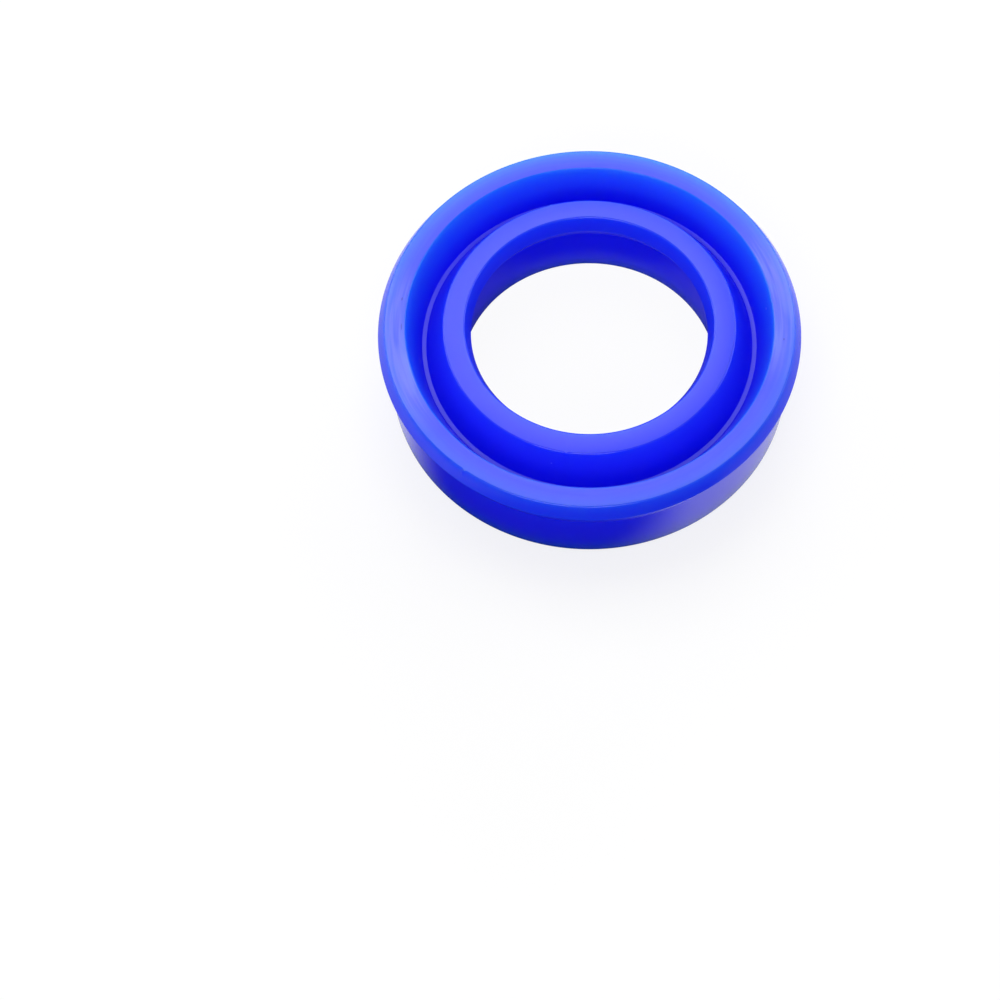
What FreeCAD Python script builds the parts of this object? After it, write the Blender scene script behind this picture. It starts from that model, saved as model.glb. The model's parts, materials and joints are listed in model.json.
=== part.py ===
import FreeCAD, Part
import math
import os

# A U cup seal for a hydraulic rod: one ring of moulded polyurethane. Seen in section it is a solid heel with
# two lips that stand up from it and lean away from each other, one towards the rod and one towards the wall of
# the housing. Pressure from the lip side spreads the groove between them.
#
# Millimetres. The seal's axis is +Z, the heel's face lies at Z = 0 and the lips point up.

# What the seal fits. Seals of one series keep their section from rod to rod, so the housing's bore follows from
# the rod and the depth of the space between the two.
ROD_DIAMETER = 25.0
SECTION_DEPTH = 7.5
HOUSING_BORE_DIAMETER = ROD_DIAMETER + 2 * SECTION_DEPTH
SEAL_HEIGHT = 10.0

# Heel: it clears the rod and the housing, and its corners are eased
HEEL_ROD_CLEARANCE = 0.3
HEEL_HOUSING_CLEARANCE = 0.3
HEEL_HEIGHT = 6.1
HEEL_CORNER_RADIUS = 0.25

# Groove between the lips: a narrow flat floor midway across the heel, with both walls leaning outwards
GROOVE_DEPTH = 3.75
GROOVE_FLOOR_WIDTH = 0.48

# Outer lip, which presses on the housing. Its sealing edge stands proud of the housing bore while it is free,
# and the bevel above that edge runs up to a flat tip.
OUTER_LIP_PRESS = 0.7
OUTER_EDGE_BELOW_TIP = 1.45
OUTER_BEVEL_WIDTH = 0.7
OUTER_TIP_WIDTH = 2.02

# Inner lip, which presses on the rod. Its tip falls a little towards the groove. Below the sealing edge the
# lip's face runs down to a low shoulder, which stands in from the heel's bore.
INNER_LIP_PRESS = 0.55
INNER_EDGE_BELOW_TIP = 1.8
INNER_BEVEL_WIDTH = 0.24
INNER_TIP_WIDTH = 2.06
INNER_TIP_SLOPE = 0.2
INNER_SHOULDER_STAND = 0.48
INNER_SHOULDER_RISE = 0.6

# Where each lip leaves the heel
LIP_ROOT_RADIUS = 0.3


def turn_at_corner(before, corner, after, rounding):
    """Where an outline leaves one straight run, passes its corner and joins the next run."""
    if rounding == 0:
        return corner, corner, corner
    towards_before = (before - corner).normalize()
    towards_after = (after - corner).normalize()
    half_angle = towards_before.getAngle(towards_after) / 2
    setback = rounding / math.tan(half_angle)
    inset = rounding / math.sin(half_angle) - rounding
    middle_way = (towards_before + towards_after).normalize()
    return corner + towards_before * setback, corner + middle_way * inset, corner + towards_after * setback


def rounded_outline(corners):
    """A closed wire in the XZ plane through corners of (radius, height, corner rounding)."""
    points = [FreeCAD.Vector(radius, 0, height) for radius, height, rounding in corners]
    turns = []
    for index, point in enumerate(points):
        after = points[(index + 1) % len(points)]
        rounding = corners[index][2]
        turns.append(turn_at_corner(points[index - 1], point, after, rounding))

    edges = []
    for index, (start, middle, end) in enumerate(turns):
        if start != end:
            edges.append(Part.Arc(start, middle, end).toShape())
        next_start = turns[(index + 1) % len(turns)][0]
        edges.append(Part.LineSegment(end, next_start).toShape())
    return Part.Wire(edges)


def seal_section():
    """The section on one side of the axis, from the heel's bore corner out and round."""
    heel_bore = ROD_DIAMETER / 2 + HEEL_ROD_CLEARANCE
    heel_wall = HOUSING_BORE_DIAMETER / 2 - HEEL_HOUSING_CLEARANCE
    groove_middle = (heel_bore + heel_wall) / 2
    groove_floor = SEAL_HEIGHT - GROOVE_DEPTH

    outer_edge = HOUSING_BORE_DIAMETER / 2 + OUTER_LIP_PRESS
    outer_tip = outer_edge - OUTER_BEVEL_WIDTH
    inner_edge = ROD_DIAMETER / 2 - INNER_LIP_PRESS
    inner_tip = inner_edge + INNER_BEVEL_WIDTH

    heel = [
        (heel_bore, 0, HEEL_CORNER_RADIUS),
        (heel_wall, 0, HEEL_CORNER_RADIUS),
    ]
    outer_lip = [
        (heel_wall, HEEL_HEIGHT, LIP_ROOT_RADIUS),
        (outer_edge, SEAL_HEIGHT - OUTER_EDGE_BELOW_TIP, 0),
        (outer_tip, SEAL_HEIGHT, 0),
        (outer_tip - OUTER_TIP_WIDTH, SEAL_HEIGHT, 0),
    ]
    groove = [
        (groove_middle + GROOVE_FLOOR_WIDTH / 2, groove_floor, 0),
        (groove_middle - GROOVE_FLOOR_WIDTH / 2, groove_floor, 0),
    ]
    inner_lip = [
        (inner_tip + INNER_TIP_WIDTH, SEAL_HEIGHT - INNER_TIP_SLOPE, 0),
        (inner_tip, SEAL_HEIGHT, 0),
        (inner_edge, SEAL_HEIGHT - INNER_EDGE_BELOW_TIP, 0),
        (heel_bore - INNER_SHOULDER_STAND, HEEL_HEIGHT + INNER_SHOULDER_RISE, 0),
        (heel_bore, HEEL_HEIGHT, LIP_ROOT_RADIUS),
    ]
    return Part.Face(rounded_outline(heel + outer_lip + groove + inner_lip))


def seal_ring():
    """The whole seal: its section turned once round the axis."""
    axis_point = FreeCAD.Vector(0, 0, 0)
    axis_direction = FreeCAD.Vector(0, 0, 1)
    return seal_section().revolve(axis_point, axis_direction, 360)


os.makedirs("parts", exist_ok=True)
ring = seal_ring()
ring.exportStep("parts/seal_ring.step")
box = ring.optimalBoundingBox()
print("seal_ring", "valid" if ring.isValid() else "NOT VALID", "volume", round(ring.Volume, 2), "mm3")
print("outer diameter", round(box.XLength, 3), "height", round(box.ZLength, 3), "mm")
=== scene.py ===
# %% [markdown]
# # A U cup seal
#
# This lesson dresses one small hydraulic seal: a ring of blue polyurethane, 41 mm across and 10 mm high.
# Cut through, it shows a solid heel with two lips standing on it, one leaning out to the housing and one
# leaning in to the rod, and an open groove between them.
#
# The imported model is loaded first. It fixes the seal's size and place, and the finer ring that we make here
# has to keep to it.

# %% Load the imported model
import json
import math

import bmesh
import bpy
from mathutils import Matrix, Vector


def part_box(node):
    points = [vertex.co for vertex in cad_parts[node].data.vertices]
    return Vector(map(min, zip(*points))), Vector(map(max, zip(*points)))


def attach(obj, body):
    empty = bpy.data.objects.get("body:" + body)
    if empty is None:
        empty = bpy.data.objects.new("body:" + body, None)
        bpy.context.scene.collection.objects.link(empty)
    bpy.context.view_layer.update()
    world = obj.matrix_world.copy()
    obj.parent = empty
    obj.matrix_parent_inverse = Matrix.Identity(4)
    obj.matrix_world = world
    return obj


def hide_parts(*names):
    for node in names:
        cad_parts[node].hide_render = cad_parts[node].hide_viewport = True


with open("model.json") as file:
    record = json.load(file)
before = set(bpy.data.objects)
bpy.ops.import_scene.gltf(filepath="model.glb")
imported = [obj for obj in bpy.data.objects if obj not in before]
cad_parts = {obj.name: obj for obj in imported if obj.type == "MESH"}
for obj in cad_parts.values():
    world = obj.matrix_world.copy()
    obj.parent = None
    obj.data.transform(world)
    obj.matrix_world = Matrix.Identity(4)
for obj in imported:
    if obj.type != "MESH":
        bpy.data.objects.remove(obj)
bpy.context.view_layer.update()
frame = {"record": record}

# %% [markdown]
# ## Sizes
#
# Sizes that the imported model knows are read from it: how high and wide the seal is, and the two heel walls
# that its mounts describe. What it doesn't say outright, such as how wide a lip's tip is, is named here in
# millimetres, as on a drawing. The inner lip's sealing edge is the one large form that differs from the
# packed ring. Fitted again to the photograph, it stands 0.39 mm further in and 0.2 mm higher, under a wider
# bevel.

# %% Read and name the sizes
MM = 0.001

mount_radius = {
    mount["name"]: mount["dims"].get("r_mm", 0) * MM
    for mount in frame["record"]["mounts"]
}
ring_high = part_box("seal_ring")[1]
seal_height = ring_high.z
outer_edge = ring_high.x
heel_bore = mount_radius["rod_bore"]
heel_wall = mount_radius["housing_seat"]

HEEL_HEIGHT = 6.1 * MM
HEEL_ROUNDING = 0.25 * MM
ROOT_ROUNDING = 0.3 * MM

GROOVE_DEPTH = 3.75 * MM
GROOVE_FLOOR_WIDTH = 0.48 * MM
GROOVE_ROUNDING = 0.10 * MM

OUTER_EDGE_BELOW_TIP = 1.45 * MM
OUTER_BEVEL_WIDTH = 0.7 * MM
OUTER_TIP_WIDTH = 2.02 * MM

INNER_EDGE_IN_FROM_BORE = 1.24 * MM
INNER_EDGE_BELOW_TIP = 1.6 * MM
INNER_BEVEL_WIDTH = 0.63 * MM
INNER_TIP_WIDTH = 2.06 * MM
INNER_TIP_SLOPE = 0.2 * MM
SHOULDER_STAND = 0.48 * MM
SHOULDER_RISE = 0.6 * MM
SHOULDER_ROUNDING = 0.1 * MM

SEALING_EDGE_ROUNDING = 0.10 * MM
TIP_ROUNDING = 0.22 * MM
GROOVE_MOUTH_ROUNDING = 0.15 * MM

print("heel bore", heel_bore / MM, "heel wall", heel_wall / MM, "sealing edge", outer_edge / MM, "mm")

# %% [markdown]
# ## The corners of the section
#
# A seal like this is turned or moulded, so everything about its shape is in one section. We write that
# section as the few corners that a toolmaker would put on the drawing, going out along the heel's face, up
# the outer lip, down and up through the groove, and back down the inner lip. Each corner also says how
# round it is.

# %% List the corners
groove_middle = (heel_bore + heel_wall) / 2
groove_floor = seal_height - GROOVE_DEPTH
outer_tip = outer_edge - OUTER_BEVEL_WIDTH
groove_mouth = outer_tip - OUTER_TIP_WIDTH
inner_edge = heel_bore - INNER_EDGE_IN_FROM_BORE
inner_tip = inner_edge + INNER_BEVEL_WIDTH

corners = [
    (heel_bore, 0, HEEL_ROUNDING),
    (heel_wall, 0, HEEL_ROUNDING),
    (heel_wall, HEEL_HEIGHT, ROOT_ROUNDING),
    (outer_edge, seal_height - OUTER_EDGE_BELOW_TIP, SEALING_EDGE_ROUNDING),
    (outer_tip, seal_height, TIP_ROUNDING),
    (groove_mouth, seal_height, GROOVE_MOUTH_ROUNDING),
    (groove_middle + GROOVE_FLOOR_WIDTH / 2, groove_floor, GROOVE_ROUNDING),
    (groove_middle - GROOVE_FLOOR_WIDTH / 2, groove_floor, GROOVE_ROUNDING),
    (inner_tip + INNER_TIP_WIDTH, seal_height - INNER_TIP_SLOPE, TIP_ROUNDING),
    (inner_tip, seal_height, TIP_ROUNDING),
    (inner_edge, seal_height - INNER_EDGE_BELOW_TIP, SEALING_EDGE_ROUNDING),
    (heel_bore - SHOULDER_STAND, HEEL_HEIGHT + SHOULDER_RISE, SHOULDER_ROUNDING),
    (heel_bore, HEEL_HEIGHT, ROOT_ROUNDING),
]
print(len(corners), "corners in the section")

# %% [markdown]
# ## The ring
#
# There are two natural ways to make a ring like this by hand. One draws the section and spins it round the
# axis. The other starts with a circle at the first corner, then extrudes it and scales it to the next
# corner again and again, as if walking round the section. The second is used here, because its loops close
# on themselves without a seam: there are no doubled points to merge after a full turn.

# %% Walk the circle round the section
TURN_STEPS = 720


def choose_only(piece):
    """Deselects everything, then selects one object and makes it the active one."""
    bpy.ops.object.select_all(action="DESELECT")
    piece.select_set(True)
    bpy.context.view_layer.objects.active = piece


bpy.ops.object.select_all(action="DESELECT")
bpy.ops.mesh.primitive_circle_add(vertices=TURN_STEPS, radius=heel_bore, location=(0, 0, 0))
seal = bpy.context.object
seal.name = "cup_seal"

bpy.ops.object.mode_set(mode="EDIT")
bpy.ops.mesh.select_mode(type="EDGE")
bpy.ops.mesh.select_all(action="SELECT")
for here, there in zip(corners, corners[1:]):
    bpy.ops.mesh.extrude_edges_move(TRANSFORM_OT_translate={"value": (0, 0, there[1] - here[1])})
    growth = there[0] / here[0]
    bpy.ops.transform.resize(value=(growth, growth, 1), center_override=(0, 0, there[1]))

# %% [markdown]
# The last loop now lies at the top of the heel's bore and the first one at its foot. Bridging the two
# closes the wall of the bore. Edges are picked by place: every edge whose two ends lie at a given radius
# and height.

# %% Close the ring
SAME_PLACE = 0.002 * MM


def select_loops(mesh_edit, places):
    """Selects the edge loops that lie at these (radius, height) places, and nothing else."""
    bpy.ops.mesh.select_all(action="DESELECT")
    for edge in mesh_edit.edges:
        ends = [(math.hypot(v.co.x, v.co.y), v.co.z) for v in edge.verts]
        for radius, height in places:
            if all(abs(r - radius) < SAME_PLACE and abs(z - height) < SAME_PLACE for r, z in ends):
                edge.select_set(True)
    bmesh.update_edit_mesh(bpy.context.object.data)


first_corner = corners[0]
last_corner = corners[-1]
select_loops(bmesh.from_edit_mesh(seal.data), [first_corner[:2], last_corner[:2]])
bpy.ops.mesh.bridge_edge_loops()
bpy.ops.mesh.select_all(action="SELECT")
bpy.ops.mesh.normals_make_consistent(inside=False)
print("closed ring of", len(bmesh.from_edit_mesh(seal.data).faces), "faces")

# %% [markdown]
# ## Rounded corners
#
# No real edge is perfectly sharp, and the thin line of light along an edge is what makes a render
# believable. The mould rounds the heel's corners and the lips' roots most, the tips a little less, and
# leaves the two sealing edges crisp, because they have to wipe the oil off. Each corner loop gets its own
# bevel. Bevel's offset is measured along the faces, so the radius is first turned into that distance with
# the corner's angle.

# %% Bevel every corner
ROUNDING_STEPS = 5


def bevel_offset(index):
    """How far along its faces a corner's rounding starts."""
    radius, height, rounding = corners[index]
    here = Vector((radius, height))
    before = Vector(corners[index - 1][:2]) - here
    after = Vector(corners[(index + 1) % len(corners)][:2]) - here
    return rounding / math.tan(before.angle(after) / 2)


for index, (radius, height, rounding) in enumerate(corners):
    select_loops(bmesh.from_edit_mesh(seal.data), [(radius, height)])
    bpy.ops.mesh.bevel(offset=bevel_offset(index), segments=ROUNDING_STEPS, affect="EDGES")
print("rounded ring of", len(bmesh.from_edit_mesh(seal.data).faces), "faces")

# %% [markdown]
# ## Nibs on the tips
#
# Where the mould's two halves met, the tips were trimmed, and a few tiny tags of polyurethane stayed on
# their rims. They are a fifth of a millimetre long at most. By hand, one would pull a point out of the rim
# with proportional editing, and that is what the transform operator does here. A nib only goes sideways, so
# the seal keeps its height. First one bisect cuts a loop just under the rims all the way round, so that a
# nib's shading stops there and doesn't run down the long faces of the walls.

# %% Pull out the nibs
HOLDING_LOOP_DEPTH = 0.75 * MM

bpy.ops.mesh.select_all(action="SELECT")
bpy.ops.mesh.bisect(plane_co=(0, 0, seal_height - HOLDING_LOOP_DEPTH), plane_no=(0, 0, 1))
outer_rim = (outer_tip, seal_height)
groove_rim = (inner_tip + INNER_TIP_WIDTH, seal_height - INNER_TIP_SLOPE)
nibs = [
    {"rim": outer_rim, "turn": 234.2, "length": 0.20 * MM, "reach": 0.32 * MM},
    {"rim": outer_rim, "turn": 265.0, "length": 0.07 * MM, "reach": 0.32 * MM},
    {"rim": outer_rim, "turn": 12.5, "length": 0.06 * MM, "reach": 0.32 * MM},
    {"rim": groove_rim, "turn": 261.5, "length": 0.17 * MM, "reach": 0.32 * MM},
    {"rim": groove_rim, "turn": 106.0, "length": 0.12 * MM, "reach": 0.18 * MM},
]

bpy.ops.mesh.select_mode(type="VERT")
for nib in nibs:
    bpy.ops.mesh.select_all(action="DESELECT")
    rim_radius, rim_height = nib["rim"]
    turn = math.radians(nib["turn"])
    outwards = Vector((math.cos(turn), math.sin(turn), 0))
    rim_point = outwards * rim_radius + Vector((0, 0, rim_height))
    mesh_edit = bmesh.from_edit_mesh(seal.data)
    nearest = min(mesh_edit.verts, key=lambda vertex: (vertex.co - rim_point).length)
    nearest.select_set(True)
    bmesh.update_edit_mesh(seal.data)
    bpy.ops.transform.translate(
        value=outwards * nib["length"],
        use_proportional_edit=True,
        proportional_edit_falloff="SHARP",
        proportional_size=nib["reach"],
    )
bpy.ops.object.mode_set(mode="OBJECT")
print(len(nibs), "nibs on the rims")

# %% [markdown]
# Smooth shading blends the light across neighbouring faces. On its own it would also bend the light on the
# flat faces beside each small rounding, so a Weighted Normal modifier makes the large faces decide, and
# they stay flat to the eye.

# %% Smooth the shading
LARGE_FACES_DECIDE = 100

choose_only(seal)
bpy.ops.object.shade_smooth()
bpy.ops.object.modifier_add(type="WEIGHTED_NORMAL")
seal.modifiers[-1].keep_sharp = True
seal.modifiers[-1].weight = LARGE_FACES_DECIDE
bpy.ops.object.modifier_apply(modifier=seal.modifiers[-1].name)

# %% [markdown]
# ## Writing shader maths
#
# A material in Blender is a graph of nodes. Long sums are hard to read as a graph, so one small class wraps
# a node's output. Adding, subtracting, multiplying or dividing wrapped outputs makes the Math nodes for us,
# and one method, node, makes any other kind.

# %% A small class for nodes
class Signal:
    """An output socket in a material's graph."""

    def __init__(self, tree, socket=None):
        self.tree = tree
        self.socket = socket

    def node(self, kind, settings=None, sockets=None, output=0):
        """Adds a node: its type, its settings, then a value or a link for each socket that is named."""
        made = self.tree.nodes.new(kind)
        for name, value in (settings or {}).items():
            setattr(made, name, value)
        for name, value in (sockets or {}).items():
            if isinstance(value, Signal):
                self.tree.links.new(value.socket, made.inputs[name])
            else:
                made.inputs[name].default_value = value
        return Signal(self.tree, made.outputs[output])

    def maths(self, operation, *values):
        return self.node("ShaderNodeMath", {"operation": operation}, dict(enumerate(values)))

    def __add__(self, other):
        return self.maths("ADD", self, other)

    def __radd__(self, other):
        return self.maths("ADD", other, self)

    def __sub__(self, other):
        return self.maths("SUBTRACT", self, other)

    def __rsub__(self, other):
        return self.maths("SUBTRACT", other, self)

    def __mul__(self, other):
        return self.maths("MULTIPLY", self, other)

    def __rmul__(self, other):
        return self.maths("MULTIPLY", other, self)

    def __truediv__(self, other):
        return self.maths("DIVIDE", self, other)

    def root(self):
        return self.maths("SQRT", self)

    def exp(self):
        return self.maths("EXPONENT", self)

    def ramp(self, low, high, low_value=0, high_value=1):
        """Goes smoothly from one value to another while this signal goes from low to high."""
        sockets = {
            "Value": self,
            "From Min": low,
            "From Max": high,
            "To Min": low_value,
            "To Max": high_value,
        }
        return self.node("ShaderNodeMapRange", {"interpolation_type": "SMOOTHSTEP"}, sockets)


def mix_colours(share, first, second):
    """The first colour where share is 0 and the second where it is 1."""
    return share.node("ShaderNodeMix", {"data_type": "RGBA"}, {0: share, 6: first, 7: second}, output=2)


def new_material(name):
    """An empty material: its graph, and the shader node that its surface comes from."""
    material = bpy.data.materials.new(name)
    material.use_nodes = True
    return material, material.node_tree, material.node_tree.nodes["Principled BSDF"]


# %% [markdown]
# ## The polyurethane's places
#
# The finish changes from place to place, so the graph first works out where it is. Object coordinates are
# metres in the seal's own frame. From them come the distance from the axis, the height and the direction
# round the ring, and the surface's normal tells the flat tips from the walls.

# %% Find the place on the seal
FLAT_STARTS = 0.9
FLAT_FULL = 0.99

polyurethane, tree, shader = new_material("blue_polyurethane")
coordinates = Signal(tree).node("ShaderNodeTexCoord", output="Object")
facing = Signal(tree, coordinates.socket.node.outputs["Normal"])


def parts_of(vector):
    """The three numbers in a vector, each as a signal of its own."""
    split = vector.node("ShaderNodeSeparateXYZ", None, {0: vector}).socket.node
    return [Signal(tree, split.outputs[axis]) for axis in "XYZ"]


right, back_way, height = parts_of(coordinates)
radius = (right * right + back_way * back_way).root()
round_x = right / radius
round_y = back_way / radius
flat_top = parts_of(facing)[2].ramp(FLAT_STARTS, FLAT_FULL)
outer_lip = radius.ramp(groove_middle, groove_mouth)
print("place signals use", len(tree.nodes), "nodes")

# %% [markdown]
# ## Glow in the lips
#
# Cast polyurethane is a little see-through. Light goes in, is scattered and comes out again nearby. The red
# part of it dies out first, then the green and last the blue, so thick places are a deep pure blue and thin
# ones turn azure. Subsurface scattering does this for the light. The colour also follows it as a painted
# glow,
# because some viewers show no scattering: painted azure fades away in a millimetre or two below the tips, is
# strongest at the outer rim, on the groove's outer wall and on the side that faces the light behind the seal,
# and comes back at the heel's foot.

# %% Mix the blue
BODY_BLUE = (0.011, 0.009, 0.87, 1)
AZURE = (0.020, 0.130, 0.90, 1)
GLOW_DEPTH = 2.0 * MM
INNER_GLOW = 0.22
GROOVE_GLOW = 0.95
WALL_GLOW = 0.60
OUTER_GLOW = 0.77
BEVEL_GLOW = 0.80
FRONT_GLOW = 0.80
BACK_GLOW = 1.28
FOOT_GLOW = 0.60
FOOT_GLOW_HEIGHT = 1.0 * MM
GROOVE_FADE = 1 * MM
REFRACTION = 1.52
SCATTER_REACH = (0.5, 5, 5)

# Painted glow: the azure share stands in for light scattered through the lips, and is more on the side facing
# the lamp behind.
glow_reach = ((height - seal_height) / GLOW_DEPTH).exp()
tip_glow = radius.ramp(groove_mouth, outer_tip, INNER_GLOW, OUTER_GLOW)
wall_glow = radius.ramp(groove_middle, groove_middle + GROOVE_FADE, INNER_GLOW, GROOVE_GLOW)
wall_glow = wall_glow + radius.ramp(groove_mouth, heel_wall, 0, WALL_GLOW - GROOVE_GLOW)
glow_share = wall_glow + (tip_glow - wall_glow) * flat_top
glow_share = glow_share * radius.ramp(outer_tip, outer_edge, 1, BEVEL_GLOW)
glow_share = glow_share * round_y.ramp(-1, 1, FRONT_GLOW, BACK_GLOW)
foot_glow = (height / -FOOT_GLOW_HEIGHT).exp() * FOOT_GLOW
blue = mix_colours(glow_reach * glow_share + foot_glow, BODY_BLUE, AZURE)

shader.inputs["IOR"].default_value = REFRACTION
shader.inputs["Subsurface Weight"].default_value = 1
shader.inputs["Subsurface Radius"].default_value = SCATTER_REACH
shader.inputs["Subsurface Scale"].default_value = 1 * MM

# %% [markdown]
# ## Streaks on the outer tip
#
# The outer tip was skimmed after moulding. The tool went round, so it left faint light and dark streaks
# that run round too, each a fraction of a millimetre wide and many degrees long. A noise texture makes them
# when it is fed the direction round the ring at a coarse scale and the distance from the axis at a fine
# one. They are strongest on two opposite sides of the ring, where the light streaks are partly a painted
# sheen, the lamp's highlight spread by the round scratches. The inner tip has no streaks. Its flat top is
# only painted a little paler than the walls, a painted sheen.

# %% Draw the streaks
STREAKS_PER_MM = 2.5
STREAK_TURNS = 2.2
SHEEN_SIDE_TURN = math.radians(9)
SHEEN_SIDE_STARTS = 0.73
SHEEN_SIDE_FULL = 0.97
SHEEN_SIDE_LEAST = 0.12
PALE_STARTS = 0.38
PALE_FULL = 0.62
PALE_LEAST = 0.45
PALE_MOST = 0.95
DULL_STARTS = 0.42
DULL_FULL = 0.33
DULL_MOST = 0.4
INNER_TIP_SHEEN = 0.11
NOISE_DETAIL = 2
PALE = (0.120, 0.160, 0.98, 1)
DULL = (0.006, 0.075, 0.86, 1)

streak_place = coordinates.node("ShaderNodeCombineXYZ", None, {
    0: round_x * STREAK_TURNS,
    1: round_y * STREAK_TURNS,
    2: (radius + height) * (STREAKS_PER_MM / MM),
})
streaks = coordinates.node(
    "ShaderNodeTexNoise", None, {"Vector": streak_place, "Scale": 1, "Detail": NOISE_DETAIL}
)
skimmed = flat_top * outer_lip
# Painted sheen: the streaks are strongest on two opposite sides, where the light ones stand in for the lamp's
# highlight.
sheen_side_way = round_x * math.cos(SHEEN_SIDE_TURN) + round_y * math.sin(SHEEN_SIDE_TURN)
streak_and_sheen_sides = (sheen_side_way * sheen_side_way).ramp(SHEEN_SIDE_STARTS, SHEEN_SIDE_FULL, SHEEN_SIDE_LEAST, 1)
pale_streaks_and_sheen = streaks.ramp(PALE_STARTS, PALE_FULL, PALE_LEAST, PALE_MOST) * skimmed * streak_and_sheen_sides
dull_streaks = streaks.ramp(DULL_STARTS, DULL_FULL, 0, DULL_MOST) * skimmed * streak_and_sheen_sides
above_floor = height.ramp(groove_floor, groove_floor + GROOVE_FADE)
# Painted sheen: the inner tip's flat top is a little paler where it faces up.
inner_tip_sheen = flat_top * (1 - outer_lip) * above_floor * INNER_TIP_SHEEN
blue = mix_colours(pale_streaks_and_sheen + inner_tip_sheen, blue, PALE)
blue = mix_colours(dull_streaks, blue, DULL)

# %% [markdown]
# ## Small marks
#
# A moulded part that has been handled is never perfectly clean. On this one there are three nicks in the
# outer tip and two flecks in the groove. Two pale patches on the same tip are painted highlights. Each mark
# is a small ellipsoid in the seal's frame: the colour changes where the surface is inside it. Its sizes are
# in millimetres and its turn is in degrees.

# %% Mark the nicks, patches and flecks
NICK = (0.010, 0.020, 0.45, 1)
PATCH_HIGHLIGHT = (0.160, 0.200, 0.98, 1)
FLECK = (0.10, 0.13, 0.95, 1)
marks = [
    {
        "radius": 18.53, "height": 10.0, "turn": 171.8,
        "wide": 0.10, "long": 0.22, "share": 0.6, "colour": NICK,
    },
    {
        "radius": 18.32, "height": 10.0, "turn": 181.6,
        "wide": 0.07, "long": 0.45, "share": 0.6, "colour": NICK,
    },
    {
        "radius": 18.95, "height": 10.0, "turn": 355.0,
        "wide": 0.10, "long": 0.14, "share": 0.6, "colour": NICK,
    },
    # Two painted highlights: pale patches on the outer tip's two sides.
    {
        "radius": 19.35, "height": 10.0, "turn": 13.0,
        "wide": 0.80, "long": 4.0, "share": 0.4, "colour": PATCH_HIGHLIGHT,
    },
    {
        "radius": 18.65, "height": 10.0, "turn": 197.0,
        "wide": 0.80, "long": 3.0, "share": 0.5, "colour": PATCH_HIGHLIGHT,
    },
    {
        "radius": 17.49, "height": 8.76, "turn": 8.3,
        "wide": 0.10, "long": 0.16, "share": 0.6, "colour": FLECK,
    },
    {
        "radius": 14.95, "height": 8.38, "turn": 256.4,
        "wide": 0.06, "long": 0.10, "share": 0.6, "colour": FLECK,
    },
]


MARK_EDGE_STARTS = 0.2
MARK_EDGE_ENDS = 1.4


def mark_share(mark):
    """The mark's full share inside it and 0 away from it, with a soft edge between."""
    turn = math.radians(mark["turn"])
    wide = mark["wide"] * MM
    outwards = right * math.cos(turn) + back_way * math.sin(turn) - mark["radius"] * MM
    along = back_way * math.cos(turn) - right * math.sin(turn)
    upwards = height - mark["height"] * MM
    out_share = outwards / wide
    along_share = along / (mark["long"] * MM)
    up_share = upwards / wide
    far = out_share * out_share + along_share * along_share + up_share * up_share
    return far.ramp(MARK_EDGE_STARTS, MARK_EDGE_ENDS, mark["share"], 0)


for mark in marks:
    blue = mix_colours(mark_share(mark), blue, mark["colour"])
tree.links.new(blue.socket, shader.inputs["Base Color"])
print(len(marks), "marks on the seal")

# %% [markdown]
# ## Gloss and relief
#
# The mould was polished, so the walls mirror the sheet that the seal stands on. The tips are duller. The
# groove's floor is the dullest, so it shows as a soft pale line. Under all of them lies a faint unevenness
# that a Bump node shows: clouds of one to two millimetres everywhere, and the streaks on the outer tip. The
# clouds and the streaks also change the roughness a little, so the gloss isn't the same all over.

# %% Set the gloss and the relief
WALL_ROUGHNESS = 0.20
TIP_ROUGHNESS = 0.33
GROOVE_FLOOR_ROUGHNESS = 0.42
CLOUDS_PER_MM = 0.7
CLOUD_ROUGHNESS = 0.07
STREAK_ROUGHNESS = 0.07
CLOUD_RELIEF = 0.25
STREAK_RELIEF = 0.5
NOISE_MIDDLE = 0.5
RELIEF_STRENGTH = 0.25
RELIEF_HEIGHT = 0.02 * MM

clouds = coordinates.node(
    "ShaderNodeTexNoise", None, {"Vector": coordinates, "Scale": CLOUDS_PER_MM / MM, "Detail": NOISE_DETAIL}
)
flat_roughness = height.ramp(groove_floor, groove_floor + GROOVE_FADE, GROOVE_FLOOR_ROUGHNESS, TIP_ROUGHNESS)
roughness = WALL_ROUGHNESS + flat_top * (flat_roughness - WALL_ROUGHNESS)
roughness = roughness + (clouds - NOISE_MIDDLE) * CLOUD_ROUGHNESS
roughness = roughness + (streaks - NOISE_MIDDLE) * skimmed * STREAK_ROUGHNESS
tree.links.new(roughness.socket, shader.inputs["Roughness"])

surface_height = clouds * CLOUD_RELIEF + streaks * skimmed * STREAK_RELIEF
relief = coordinates.node(
    "ShaderNodeBump", None, {"Strength": RELIEF_STRENGTH, "Distance": RELIEF_HEIGHT, "Height": surface_height}
)
tree.links.new(relief.socket, shader.inputs["Normal"])

seal.data.materials.clear()
seal.data.materials.append(polyurethane)
print("polyurethane has", len(tree.nodes), "nodes")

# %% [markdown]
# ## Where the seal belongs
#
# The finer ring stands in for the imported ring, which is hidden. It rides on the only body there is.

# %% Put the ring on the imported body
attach(seal, "root")
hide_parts("seal_ring")

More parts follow.
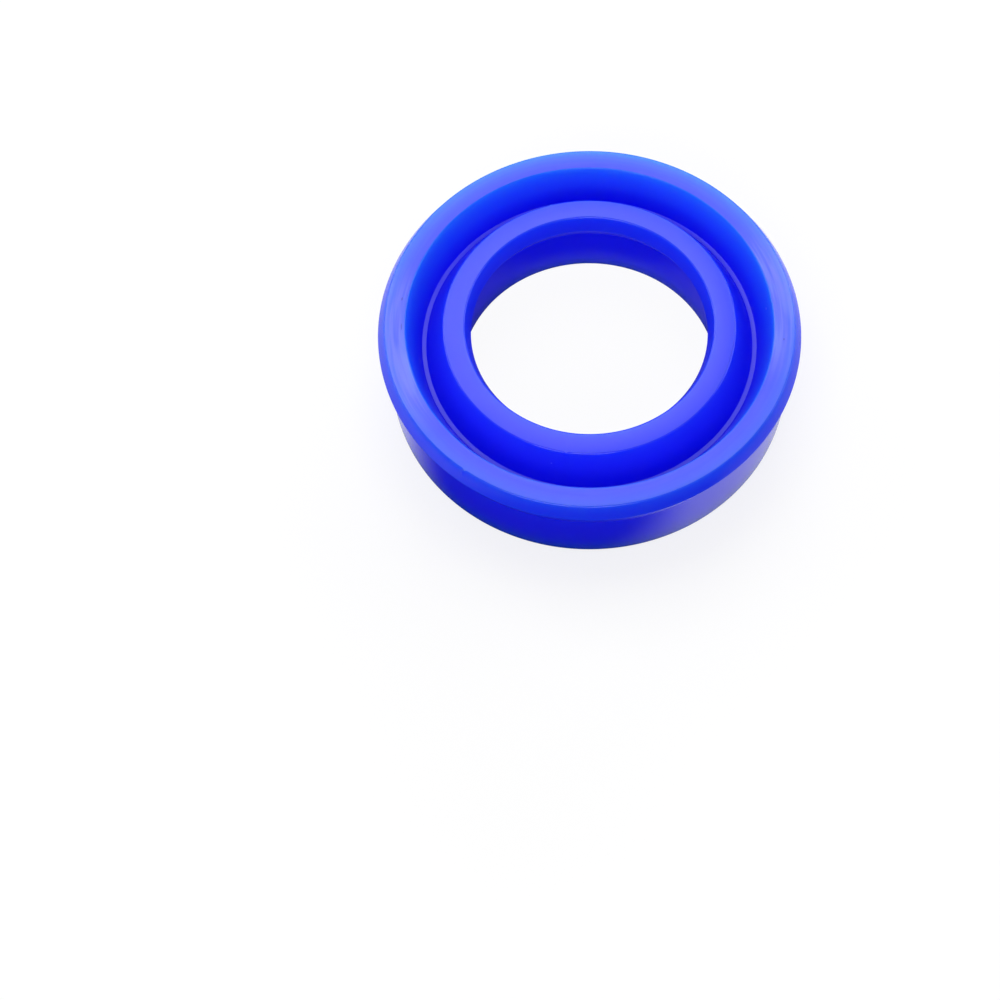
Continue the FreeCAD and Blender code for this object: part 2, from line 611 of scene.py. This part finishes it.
# %% [markdown]
# ## The floor
#
# The seal stands on a plain white sheet. A Light Path node tells which kind of ray has met the sheet, so
# each kind can be served in its own way. To soft light that bounces up under the seal's lips the sheet is a
# pale grey. The camera sees a darker grey, which takes the seal's shadow, plus a glow of its own that
# brings it up to clean white and puts no extra light on the seal. Less light falls into the bore, so there
# the grey is darker still and the glow stronger. Reflections see a painted glow only behind the seal, at its
# right and some way off to its left, brighter close in. There it draws a painted light line along the far
# rim, pales the bevel and turns the heel's wall lavender. Close in front it would wash out the deep blue.
# In the bore the mirrored sheet is painted dark in the middle and paler near the wall, with a painted
# shadow of the inner lip straight behind the middle.

# %% Lay the floor
FLOOR_SIZE = 6
SEEN_GREY = 0.22
BORE_SEEN_GREY = 0.06
BOUNCED_GREY = 0.7
BORE_BOUNCED_GREY = 0.9
MIRROR_GLOW = 0.7
SHEET_ROUGHNESS = 0.9
SHEET_GLOSS = 0.1
BLACK = (0, 0, 0, 1)
WHITE = (1, 1, 1, 1)

BORE_MIDDLE = 9.5 * MM
BORE_RIM = 12.1 * MM
BORE_MIDDLE_GREY = 0.14
BORE_RIM_GREY = 0.55
OUTSIDE_SHARE = 0.04

BORE_SHADOW = 0.9
SHADOW_SIDE = 0.80
SHADOW_HEART = 0.95
SHADOW_STARTS = 5 * MM
SHADOW_FULL = 8 * MM
SHADOW_FADES = 10.8 * MM
SHADOW_ENDS = 11.9 * MM

CLOSE_GLOW = 1.25
CLOSE_FADES = 24 * MM
CLOSE_ENDS = 30 * MM
MIRROR_FADES = 26 * MM
MIRROR_ENDS = 66 * MM
MIRROR_WAY = (0.35, 0.94, 0)
MIRROR_FRONT = -19 * MM
MIRROR_BACK = -12 * MM
LEFT_WAY = (-1, 0, 0)
LEFT_STARTS = 27 * MM
LEFT_FULL = 34 * MM
LEFT_FADES = 40 * MM
LEFT_ENDS = 85 * MM
BACK_WAY = (0, 1, 0)

bpy.ops.object.select_all(action="DESELECT")
bpy.ops.mesh.primitive_plane_add(size=FLOOR_SIZE, location=(0, 0, 0))
floor = bpy.context.object
floor.name = "floor_sheet"
sheet, sheet_tree, sheet_shader = new_material("white_sheet")
spot = Signal(sheet_tree).node("ShaderNodeTexCoord", output="Object")


def measured(operation, *vectors):
    """A number that Vector Math works out from one or two vectors."""
    sockets = dict(enumerate(vectors))
    return spot.node("ShaderNodeVectorMath", {"operation": operation}, sockets, output="Value")


def distance_along(way):
    """How far the spot lies in this direction from the seal's axis."""
    return measured("DOT_PRODUCT", spot, way)


from_axis = measured("LENGTH", spot)
# Painted reflections: the sheet glows for mirrored rays only in these zones.
close_up = from_axis.ramp(CLOSE_FADES, CLOSE_ENDS, CLOSE_GLOW, 1)
behind = distance_along(MIRROR_WAY).ramp(MIRROR_FRONT, MIRROR_BACK) * from_axis.ramp(heel_bore, heel_wall)
behind = behind * close_up * from_axis.ramp(MIRROR_FADES, MIRROR_ENDS, 1, 0)
far_left = distance_along(LEFT_WAY).ramp(LEFT_STARTS, LEFT_FULL)
far_left = far_left * from_axis.ramp(LEFT_FADES, LEFT_ENDS, 1, 0)
mirrored_glow = behind.maths("MAXIMUM", behind, far_left)

# Painted shadow of the inner lip on the mirrored sheet in the bore.
straight_back = (distance_along(BACK_WAY) / from_axis).ramp(SHADOW_SIDE, SHADOW_HEART)
bore_shadow = from_axis.ramp(SHADOW_STARTS, SHADOW_FULL) * from_axis.ramp(SHADOW_FADES, SHADOW_ENDS, 1, 0)
bore_shadow = bore_shadow * straight_back * BORE_SHADOW
seen, bounced, mirrored = [
    Signal(sheet_tree).node("ShaderNodeLightPath", output=kind)
    for kind in ("Is Camera Ray", "Is Diffuse Ray", "Is Glossy Ray")
]
seen_grey = from_axis.ramp(heel_bore, heel_wall, BORE_SEEN_GREY, SEEN_GREY)
bounced_grey = from_axis.ramp(heel_bore, heel_wall, BORE_BOUNCED_GREY, BOUNCED_GREY)
mirrored_grey = from_axis.ramp(BORE_MIDDLE, BORE_RIM, BORE_MIDDLE_GREY, BORE_RIM_GREY)
mirrored_grey = mirrored_grey * (1 - bore_shadow) * from_axis.ramp(heel_bore, heel_wall, 1, OUTSIDE_SHARE)
grey = seen * seen_grey + bounced * bounced_grey + mirrored * mirrored_grey
glow = seen * (1 - seen_grey) + mirrored * mirrored_glow * MIRROR_GLOW
sheet_tree.links.new(mix_colours(grey, BLACK, WHITE).socket, sheet_shader.inputs["Base Color"])
sheet_shader.inputs["Roughness"].default_value = SHEET_ROUGHNESS
sheet_shader.inputs["Specular IOR Level"].default_value = SHEET_GLOSS
sheet_shader.inputs["Emission Strength"].default_value = 1
sheet_tree.links.new(mix_colours(glow, BLACK, WHITE).socket, sheet_shader.inputs["Emission Color"])
floor.data.materials.append(sheet)

# %% [markdown]
# ## The light
#
# A white room gives weak light from all round. One wide, soft lamp hangs behind and above the seal: the
# flat tips mirror it towards the camera, which is what gives them their milky look against the dark groove.
# Two upright sheets at the sides brighten the rims and the bore, and a fill in front lights the far walls.
# A low lamp behind the seal shines through the lips and brings out their azure. It would be mirrored as a
# white streak, so reflections don't see it.

# %% Light the seal
ROOM_LEVEL = 0.25

room = bpy.data.worlds.new("white_room")
bpy.context.scene.world = room
room.use_nodes = True
room_tree = room.node_tree
backdrop = room_tree.nodes["Background"]
in_view = Signal(room_tree).node("ShaderNodeLightPath", output="Is Camera Ray")
level = in_view * (1 - ROOM_LEVEL) + ROOM_LEVEL
backdrop.inputs["Color"].default_value = WHITE
room_tree.links.new(level.socket, backdrop.inputs["Strength"])


def soft_lamp(name, azimuth, elevation, distance, width, height, brightness):
    """A flat lamp that hangs round the seal and faces it. Brightness 1 is as bright as a white sheet."""
    turn = math.radians(azimuth)
    rise = math.radians(elevation)
    way = Vector((math.sin(turn) * math.cos(rise), math.cos(turn) * math.cos(rise), math.sin(rise)))
    bpy.ops.object.light_add(type="AREA", location=way * distance)
    lamp = bpy.context.object
    lamp.name = name
    lamp.rotation_euler = way.to_track_quat("Z", "Y").to_euler()
    lamp.data.shape = "RECTANGLE"
    lamp.data.size = width
    lamp.data.size_y = height
    lamp.data.energy = brightness * math.pi * width * height
    return lamp


soft_lamp("tip_lamp", azimuth=-12, elevation=62, distance=0.6, width=0.5, height=0.42, brightness=2.5)
soft_lamp("left_sheet", azimuth=-65, elevation=20, distance=0.6, width=0.6, height=0.34, brightness=2.0)
soft_lamp("right_sheet", azimuth=65, elevation=20, distance=0.6, width=0.6, height=0.34, brightness=2.0)
soft_lamp("front_fill", azimuth=190, elevation=36, distance=0.7, width=0.6, height=0.35, brightness=2.8)
rim_lamp = soft_lamp("rim_lamp", azimuth=8, elevation=10, distance=0.6, width=0.5, height=0.2, brightness=9.0)
rim_lamp.visible_glossy = False

# %% [markdown]
# ## The camera
#
# The camera looks down on the seal from about 60 degrees, from some 30 cm away. In the photograph the seal
# sits right of the middle and high up, so the camera is first aimed at the seal's heel, then turned a
# little to its left and down. Turning it keeps other views centred, which a shifted lens wouldn't.

# %% Set up the camera
CAMERA_ELEVATION = math.radians(60.755)
CAMERA_DISTANCE = 0.3019
FOCAL_LENGTH = 108.17
CAMERA_PAN = math.radians(1.677)
CAMERA_TILT = math.radians(-2.420)
CAMERA_ROLL = math.radians(0.369)
NEAREST_SEEN = 0.01
FURTHEST_SEEN = 20

back = Vector((0, -math.cos(CAMERA_ELEVATION), math.sin(CAMERA_ELEVATION)))
bpy.ops.object.camera_add(location=back * CAMERA_DISTANCE)
camera = bpy.context.object
camera.name = "photo_camera"
aimed = (-back).to_track_quat("-Z", "Y").to_matrix().to_4x4()
turned = aimed @ Matrix.Rotation(CAMERA_PAN, 4, "Y") @ Matrix.Rotation(CAMERA_TILT, 4, "X")
camera.rotation_euler = (turned @ Matrix.Rotation(CAMERA_ROLL, 4, "Z")).to_euler()
camera.data.lens = FOCAL_LENGTH
camera.data.clip_start = NEAREST_SEEN
camera.data.clip_end = FURTHEST_SEEN
bpy.context.scene.camera = camera

# %% [markdown]
# ## The last look
#
# The Standard view transform shows every colour as it was mixed.

# %% Finish
bpy.context.scene.view_settings.view_transform = "Standard"
